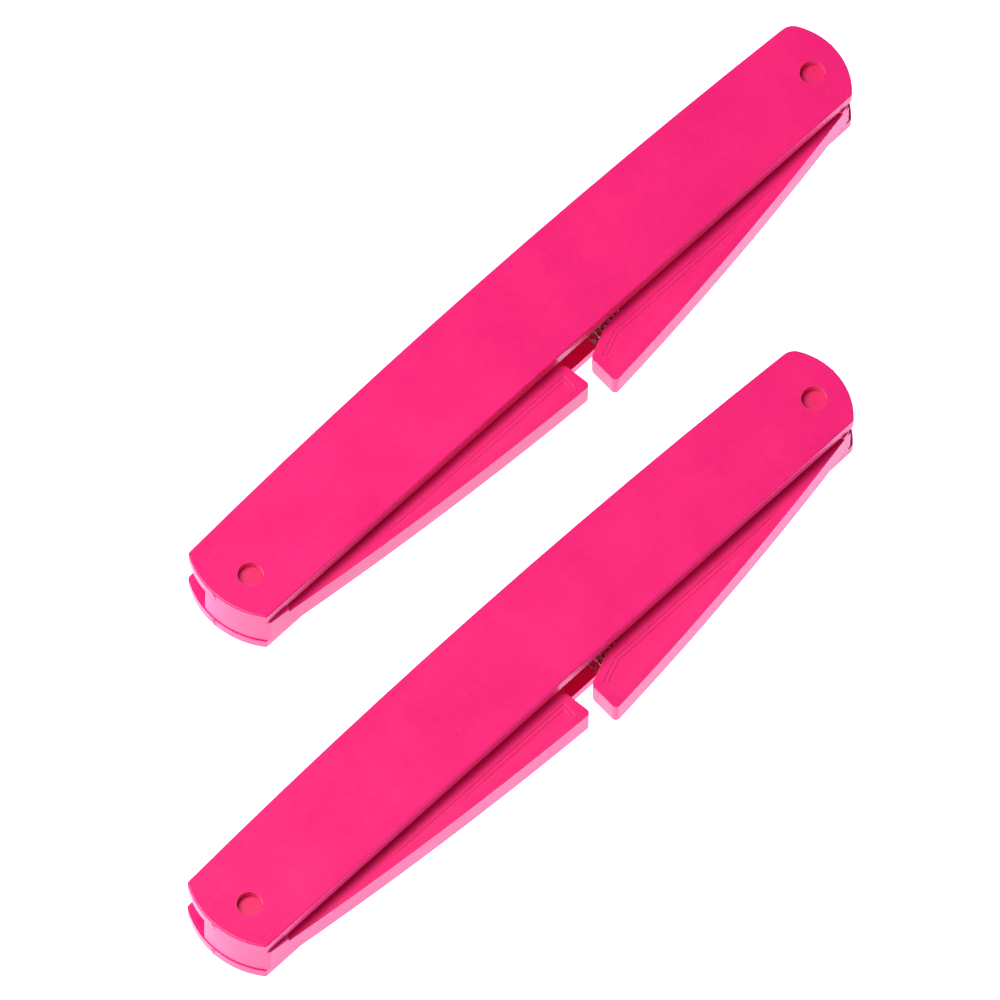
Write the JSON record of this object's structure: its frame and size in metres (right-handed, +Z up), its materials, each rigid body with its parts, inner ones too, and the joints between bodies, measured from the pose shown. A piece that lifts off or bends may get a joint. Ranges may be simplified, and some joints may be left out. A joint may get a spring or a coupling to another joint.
{
  "type": "skate blade guards",
  "caption": "Pair of blade guards for ice skates: slotted plastic bodies with sprung sole arms hinged at heel and toe, lying on their sides.",
  "frame": {"origin": "centre of the pair's footprint, on the surface that both guards lie on", "axes": "+X along both guards from heel to toe, +Y towards the blade slots' mouths, +Z up through the side plates"},
  "size_m": [0.2844, 0.107, 0.0182],
  "materials": {
    "side_plastic": "satin",
    "arm_plastic": "satin",
    "pin_plastic": "satin",
    "block_plastic": "satin",
    "post_steel": "satin",
    "spring_steel": "drawn wire"
  },
  "bodies": {
    "left_frame": {"left_lower_plate": "side_plastic", "left_upper_plate": "side_plastic", "left_heel_hinge_pin": "pin_plastic", "left_toe_hinge_pin": "pin_plastic", "left_heel_spring_post": "post_steel", "left_toe_spring_post": "post_steel", "left_centre_bridge": "block_plastic", "left_heel_saddle": "block_plastic", "left_toe_saddle": "block_plastic", "left_heel_spring": "spring_steel", "left_toe_spring": "spring_steel"},
    "left_heel_arm": {"left_heel_arm": "arm_plastic"},
    "left_toe_arm": {"left_toe_arm": "arm_plastic"},
    "right_frame": {"right_lower_plate": "side_plastic", "right_upper_plate": "side_plastic", "right_heel_hinge_pin": "pin_plastic", "right_toe_hinge_pin": "pin_plastic", "right_heel_spring_post": "post_steel", "right_toe_spring_post": "post_steel", "right_centre_bridge": "block_plastic", "right_heel_saddle": "block_plastic", "right_toe_saddle": "block_plastic", "right_heel_spring": "spring_steel", "right_toe_spring": "spring_steel"},
    "right_heel_arm": {"right_heel_arm": "arm_plastic"},
    "right_toe_arm": {"right_toe_arm": "arm_plastic"}
  },
  "joints": [
    {"name": "left_heel_arm_hinge", "type": "hinge", "parent": "left_frame", "child": "left_heel_arm", "pos_m": [-0.0672, 0.03587, 0.0091], "axis": [0, 0, 1], "range_deg": [-6, 5.6], "stiffness_Nm_per_rad": 0.6, "deforming": ["left_heel_spring"]},
    {"name": "left_toe_arm_hinge", "type": "hinge", "parent": "left_frame", "child": "left_toe_arm", "pos_m": [0.1328, 0.03587, 0.0091], "axis": [0, 0, -1], "range_deg": [-6, 7.8], "stiffness_Nm_per_rad": 0.6, "deforming": ["left_toe_spring"]},
    {"name": "right_heel_arm_hinge", "type": "hinge", "parent": "right_frame", "child": "right_heel_arm", "pos_m": [-0.1315, -0.02893, 0.0091], "axis": [0, 0, 1], "range_deg": [-6, 5.6], "stiffness_Nm_per_rad": 0.6, "deforming": ["right_heel_spring"]},
    {"name": "right_toe_arm_hinge", "type": "hinge", "parent": "right_frame", "child": "right_toe_arm", "pos_m": [0.0685, -0.02893, 0.0091], "axis": [0, 0, -1], "range_deg": [-6, 7.8], "stiffness_Nm_per_rad": 0.6, "deforming": ["right_toe_spring"]},
    {"name": "right_guard_lift", "type": "slide", "parent": "left_frame", "child": "right_frame", "axis": [0, 0, 1], "range_m": [0, 0.05]}
  ]
}
